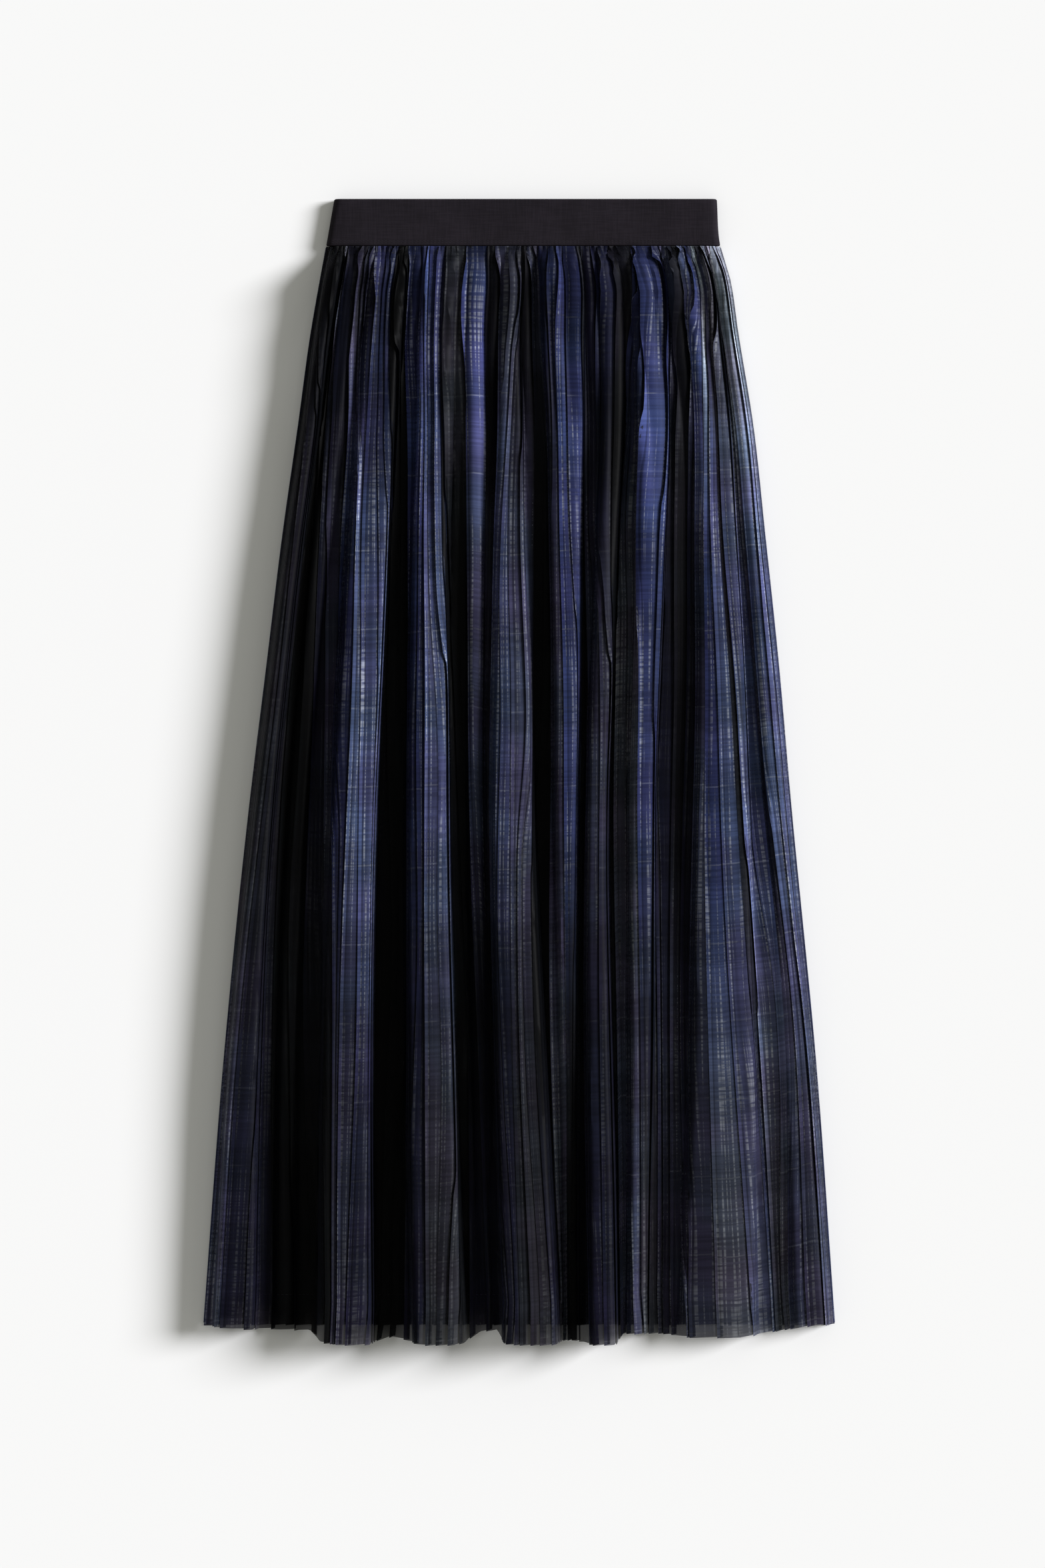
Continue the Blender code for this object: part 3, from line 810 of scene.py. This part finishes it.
def stitch_tree():
    """Resamples a path and sets one small stitch along it at each point."""
    tree = bpy.data.node_groups.new("stitch_row", "GeometryNodeTree")
    face = tree.interface
    face.new_socket("Geometry", in_out="INPUT", socket_type="NodeSocketGeometry")
    for name in ("Spacing", "Stitch Length", "Thickness"):
        face.new_socket(name, in_out="INPUT", socket_type="NodeSocketFloat")
    face.new_socket("Thread", in_out="INPUT", socket_type="NodeSocketMaterial")
    face.new_socket("Geometry", in_out="OUTPUT", socket_type="NodeSocketGeometry")
    nodes, links = tree.nodes, tree.links
    given = nodes.new("NodeGroupInput")
    result = nodes.new("NodeGroupOutput")
    resample = nodes.new("GeometryNodeResampleCurve")
    resample.mode = "LENGTH"
    to_points = nodes.new("GeometryNodeCurveToPoints")
    to_points.mode = "EVALUATED"
    stitch = nodes.new("GeometryNodeMeshUVSphere")
    stitch.inputs["Segments"].default_value = 6
    stitch.inputs["Rings"].default_value = 4
    stitch.inputs["Radius"].default_value = 0.5
    size = nodes.new("ShaderNodeCombineXYZ")
    shape = nodes.new("GeometryNodeTransform")
    turn = nodes.new("FunctionNodeAlignRotationToVector")
    turn.axis = "X"
    place = nodes.new("GeometryNodeInstanceOnPoints")
    realize = nodes.new("GeometryNodeRealizeInstances")
    finish = nodes.new("GeometryNodeSetMaterial")
    links.new(given.outputs["Geometry"], resample.inputs["Curve"])
    links.new(given.outputs["Spacing"], resample.inputs["Length"])
    links.new(resample.outputs["Curve"], to_points.inputs["Curve"])
    links.new(given.outputs["Stitch Length"], size.inputs["X"])
    links.new(given.outputs["Thickness"], size.inputs["Y"])
    links.new(given.outputs["Thickness"], size.inputs["Z"])
    links.new(stitch.outputs["Mesh"], shape.inputs["Geometry"])
    links.new(size.outputs["Vector"], shape.inputs["Scale"])
    links.new(to_points.outputs["Tangent"], turn.inputs["Vector"])
    links.new(to_points.outputs["Points"], place.inputs["Points"])
    links.new(shape.outputs["Geometry"], place.inputs["Instance"])
    links.new(turn.outputs["Rotation"], place.inputs["Rotation"])
    links.new(place.outputs["Instances"], realize.inputs["Geometry"])
    links.new(realize.outputs["Geometry"], finish.inputs["Geometry"])
    links.new(given.outputs["Thread"], finish.inputs["Material"])
    links.new(finish.outputs["Geometry"], result.inputs["Geometry"])
    return tree


def stitch_row(name, route, stitch, thread):
    """One row of stitches along a route, as a plain mesh."""
    tree = bpy.data.node_groups.get("stitch_row") or stitch_tree()
    curve = bpy.data.curves.new(f"{name}_route", "CURVE")
    curve.dimensions = "3D"
    spline = curve.splines.new("POLY")
    spline.points.add(len(route) - 1)
    for point, place in zip(spline.points, route):
        point.co = (*place, 1.0)
    guide = link(bpy.data.objects.new(f"{name}_route", curve))
    modifier = guide.modifiers.new("stitches", "NODES")
    modifier.node_group = tree
    values = {
        "Spacing": stitch.spacing,
        "Stitch Length": stitch.length,
        "Thickness": stitch.thickness,
        "Thread": thread,
    }
    for item in tree.interface.items_tree:
        if item.in_out == "INPUT" and item.name in values:
            modifier[item.identifier] = values[item.name]
    graph = bpy.context.evaluated_depsgraph_get()
    mesh = bpy.data.meshes.new_from_object(guide.evaluated_get(graph), depsgraph=graph)
    mesh.name = name
    bpy.data.objects.remove(guide)
    return link(bpy.data.objects.new(name, mesh))


# ---------------------------------------------------------------- materials


class Shading:
    """A material and short calls that add and join its nodes."""

    def __init__(self, name):
        self.material = bpy.data.materials.new(name)
        self.material.use_nodes = True
        self.nodes = self.material.node_tree.nodes
        self.links = self.material.node_tree.links
        self.shader = self.nodes["Principled BSDF"]

    def set(self, **values):
        for name, value in values.items():
            self.shader.inputs[name.replace("_", " ")].default_value = value

    def join(self, source, target):
        self.links.new(source, target)

    def map_of(self, name):
        node = self.nodes.new("ShaderNodeUVMap")
        node.uv_map = name
        return node.outputs["UV"]

    def scaled(self, vector, scale):
        node = self.nodes.new("ShaderNodeVectorMath")
        node.operation = "MULTIPLY"
        self.join(vector, node.inputs[0])
        node.inputs[1].default_value = scale
        return node.outputs["Vector"]

    def noise(self, vector, detail=2.0, roughness=0.5):
        node = self.nodes.new("ShaderNodeTexNoise")
        node.inputs["Scale"].default_value = 1.0
        node.inputs["Detail"].default_value = detail
        node.inputs["Roughness"].default_value = roughness
        self.join(vector, node.inputs["Vector"])
        return node.outputs["Fac"]

    def ramp(self, value, low, high, to_low, to_high):
        node = self.nodes.new("ShaderNodeMapRange")
        node.interpolation_type = "SMOOTHSTEP"
        self.join(value, node.inputs["Value"])
        for name, number in (
            ("From Min", low),
            ("From Max", high),
            ("To Min", to_low),
            ("To Max", to_high),
        ):
            node.inputs[name].default_value = number
        return node.outputs["Result"]

    def math(self, operation, first, second=0.0):
        node = self.nodes.new("ShaderNodeMath")
        node.operation = operation
        for socket, value in zip(node.inputs, (first, second)):
            if isinstance(value, (int, float)):
                socket.default_value = value
            else:
                self.join(value, socket)
        return node.outputs["Value"]

    def tinted(self, colour, factor):
        """A colour made lighter or darker by a factor."""
        node = self.nodes.new("ShaderNodeVectorMath")
        node.operation = "SCALE"
        self.join(colour, node.inputs[0])
        self.join(factor, node.inputs["Scale"])
        return node.outputs["Vector"]

    def colours(self, operation, first, second):
        """Two colours added or multiplied."""
        node = self.nodes.new("ShaderNodeVectorMath")
        node.operation = operation
        self.join(first, node.inputs[0])
        self.join(second, node.inputs[1])
        return node.outputs["Vector"]

    def times(self, first, *others):
        """The product of two or more values."""
        for value in others:
            first = self.math("MULTIPLY", first, value)
        return first

    def parts(self, vector):
        """The X, Y and Z of a vector."""
        node = self.nodes.new("ShaderNodeSeparateXYZ")
        self.join(vector, node.inputs[0])
        return node.outputs

    def speckle(self, place, scale, detail, levels, results):
        """Noise with a scale in changes per metre, its levels stretched from one result to the other."""
        return self.ramp(self.noise(self.scaled(place, scale), detail), *levels, *results)

    def colour_unevenly(self, colour, mottle, grain):
        """Takes a base colour that a broad mottle and a fine grain make lighter and darker."""
        base = self.nodes.new("ShaderNodeRGB")
        base.outputs[0].default_value = (*colour, 1.0)
        tinted = self.tinted(base.outputs[0], self.times(mottle, grain))
        self.join(tinted, self.shader.inputs["Base Color"])

    def between(self, share, first, second):
        """A colour that changes from the first to the second as the share goes from 0 to 1."""
        node = self.nodes.new("ShaderNodeMix")
        node.data_type = "VECTOR"
        sockets = {(socket.name, socket.type): socket for socket in node.inputs}
        self.join(share, sockets["Factor", "VALUE"])
        sockets["A", "VECTOR"].default_value = first
        sockets["B", "VECTOR"].default_value = second
        return next(socket for socket in node.outputs if socket.type == "VECTOR")

    def bump(self, height, strength, distance):
        node = self.nodes.new("ShaderNodeBump")
        node.inputs["Strength"].default_value = strength
        node.inputs["Distance"].default_value = distance
        self.join(height, node.inputs["Height"])
        self.join(node.outputs["Normal"], self.shader.inputs["Normal"])


def sheer_cloth(name, alpha):
    """Sheer shadow check: ribbons of colour, pale slub threads, soft checks and thin weft lines, with
    painted highlights and painted shade at the pleats' creases.
    """
    cloth = Shading(name)
    math, ramp, times = cloth.math, cloth.ramp, cloth.times
    tone = cloth.nodes.new("ShaderNodeAttribute")
    tone.attribute_name = "warp_tone"
    shines = tone.outputs["Alpha"]
    place = cloth.map_of("cloth")
    pleat = cloth.parts(cloth.map_of("pleat"))
    from_crease, to_next = pleat["X"], pleat["Y"]

    def speckle(across, down, levels, results, detail=1.0):
        return cloth.speckle(place, (across, down, 1.0), detail, levels, results)

    repeat = math("FRACT", math("DIVIDE", cloth.parts(place)["Y"], CHECK_REPEAT))
    from_line = math("ABSOLUTE", math("SUBTRACT", repeat, 0.5))
    light_zone = ramp(from_line, *LIGHT_ZONE_EDGE, 0.88, 1.14)
    patches = speckle(26.0, 3.5, (0.30, 0.70), (0.78, 1.22), detail=3.0)
    wefts = speckle(14.0, 420.0, (0.34, 0.68), (0.83, 1.19))
    stripes = speckle(260.0, 1.5, (0.30, 0.70), (0.81, 1.19))

    # Painted highlight along each crease, a thin line of painted shade a little in from it, and painted
    # shade up to the next crease
    lit_edge = times(ramp(from_crease, *LIT_EDGE, 1.0, 0.0), shines)
    edge_light = math("ADD", times(lit_edge, LIT_EDGE_GAIN), FLAT_GAIN)
    from_groove = math("ABSOLUTE", math("SUBTRACT", from_crease, GROOVE_AT))
    groove_shade = times(ramp(from_groove, *GROOVE_EDGE, 1.0, 0.0), shines)
    groove_light = math("SUBTRACT", 1.0, times(groove_shade, GROOVE_SHADE_STRENGTH))
    next_light = ramp(to_next, *UP_TO_NEXT_CREASE, LIGHT_AT_NEXT_CREASE, 1.0)

    check = times(light_zone, patches, wefts, stripes)
    factor = times(check, edge_light, groove_light, next_light)
    cast = cloth.between(speckle(22.0, 13.0, (0.35, 0.65), (0.0, 1.0)), GREEN_CAST, PURPLE_CAST)
    woven = cloth.colours("MULTIPLY", cloth.tinted(tone.outputs["Color"], factor), cast)

    slubs = speckle(640.0, 6.0, (0.54, 0.64), (0.0, 1.0))
    threads = times(slubs, speckle(80.0, 420.0, (0.38, 0.60), (0.15, 1.0)))
    breaks = speckle(90.0, 6.0, (0.38, 0.55), (0.2, 1.0))
    weft_line = times(ramp(from_line, *LINE_EDGE, 1.0, 0.0), breaks)
    pale = math("ADD", times(threads, THREAD_GLOW), times(weft_line, LINE_GLOW))
    blue = cloth.parts(woven)["Z"]
    pale_threads = cloth.nodes.new("ShaderNodeCombineXYZ")
    for socket, share in zip(pale_threads.inputs, THREAD_COLOUR):
        cloth.join(times(blue, pale, share), socket)
    colour = cloth.colours("ADD", woven, pale_threads.outputs["Vector"])
    cloth.join(colour, cloth.shader.inputs["Base Color"])
    weave = cloth.noise(cloth.scaled(place, (1700.0, 1700.0, 1.0)), 1.0)
    cloth.bump(math("ADD", weave, times(threads, 0.8)), 0.25, 0.0002)
    cloth.set(Roughness=0.55, Specular_IOR_Level=0.06, Alpha=alpha)
    cloth.set(Sheen_Weight=0.03, Sheen_Roughness=0.35, Sheen_Tint=(0.62, 0.70, 1.0, 1.0))
    return cloth.material


def plain_cloth(name, colour, grain):
    """Plain fine cloth with a faint unevenness of colour."""
    cloth = Shading(name)
    place = cloth.nodes.new("ShaderNodeTexCoord").outputs["Object"]
    mottle = cloth.speckle(place, (40.0, 40.0, 40.0), 4.0, (0.3, 0.7), (0.86, 1.14))
    fibre = cloth.speckle(place, (grain, grain * 1.6, grain), 2.0, (0.3, 0.7), (0.85, 1.15))
    cloth.colour_unevenly(colour, mottle, fibre)
    cloth.bump(fibre, 0.3, 0.0002)
    cloth.set(Roughness=0.85, Specular_IOR_Level=0.10)
    return cloth.material


def elastic_cloth():
    """Covered elastic: matte charcoal with a purple cast and fine upright ribs."""
    cloth = Shading("covered_elastic")
    place = cloth.nodes.new("ShaderNodeTexCoord").outputs["Object"]
    ribs = cloth.noise(cloth.scaled(place, (900.0, 60.0, 60.0)), 1.0)
    picks = cloth.noise(cloth.scaled(place, (60.0, 900.0, 60.0)), 1.0)
    weave = cloth.ramp(cloth.math("ADD", ribs, picks), 0.7, 1.3, 0.85, 1.15)
    mottle = cloth.speckle(place, (30.0, 30.0, 30.0), 4.0, (0.3, 0.7), (0.88, 1.12))
    cloth.colour_unevenly((0.0128, 0.0104, 0.0140), mottle, weave)
    cloth.bump(weave, 0.35, 0.0003)
    cloth.set(Roughness=0.9, Specular_IOR_Level=0.10)
    return cloth.material


# ---------------------------------------------------------------- floor, light and camera


def make_floor():
    mesh = bpy.data.meshes.new("pale_floor")
    corners = [(x * FLOOR_REACH, y * FLOOR_REACH, 0.0) for x, y in ((-1, -1), (1, -1), (1, 1), (-1, 1))]
    mesh.from_pydata(corners, [], [(0, 1, 2, 3)])
    floor = Shading("pale_floor")
    floor.set(Base_Color=FLOOR_COLOUR, Roughness=0.9, Specular_IOR_Level=0.0)
    mesh.materials.append(floor.material)
    obj = link(bpy.data.objects.new("pale_floor", mesh))


def make_lights():
    world = bpy.data.worlds.new("studio_air")
    bpy.context.scene.world = world
    world.use_nodes = True
    background = world.node_tree.nodes["Background"]
    background.inputs["Color"].default_value = AIR_COLOUR
    background.inputs["Strength"].default_value = AIR_STRENGTH
    data = bpy.data.lights.new("window_light", "SUN")
    data.energy = SUN_ENERGY
    data.color = SUN_COLOUR
    data.angle = SUN_WIDTH
    key = link(bpy.data.objects.new("window_light", data))
    key.rotation_euler = (0.0, SUN_FROM_UPRIGHT, SUN_TOWARD_WAIST)


def make_camera():
    data = bpy.data.cameras.new("camera")
    data.sensor_fit = "VERTICAL"
    data.sensor_height = SENSOR_HEIGHT_MM
    data.lens = SENSOR_HEIGHT_MM * CAMERA_HEIGHT / VIEW_HEIGHT
    data.clip_end = 50.0
    camera = link(bpy.data.objects.new("camera", data))
    camera.location = (*VIEW_CENTRE, CAMERA_HEIGHT)
    bpy.context.scene.camera = camera
    bpy.context.scene.view_settings.view_transform = "Standard"


def main():
    sheer = sheer_cloth("sheer_shadow_check", CLOTH_ALPHA)
    lining = plain_cloth("plain_lining", (0.0075, 0.0070, 0.0090), 900.0)
    # The turned hem is painted darker than the lining: painted shade for the doubled lining letting less
    # light through
    lining_hem = plain_cloth("lining_turned_hem", (0.0045, 0.0042, 0.0055), 900.0)
    elastic = elastic_cloth()
    thread = plain_cloth("dark_thread", (0.020, 0.018, 0.022), 2000.0)
    pale_thread = plain_cloth("grey_thread", (0.10, 0.10, 0.12), 2000.0)
    make_camera()
    make_lights()
    make_floor()
    make_waistband(elastic)
    make_band_stitches(thread)
    make_back_panel(sheer)
    make_lining("back", BACK_LINING_LEVEL, BACK_LINING_HEM_DOWN, lining, lining_hem, pale_thread)
    make_lining("front", FRONT_LINING_LEVEL, FRONT_LINING_HEM_DOWN, lining, lining_hem, pale_thread)
    make_side_seams(sheer)
    make_front_panel(sheer)


main()
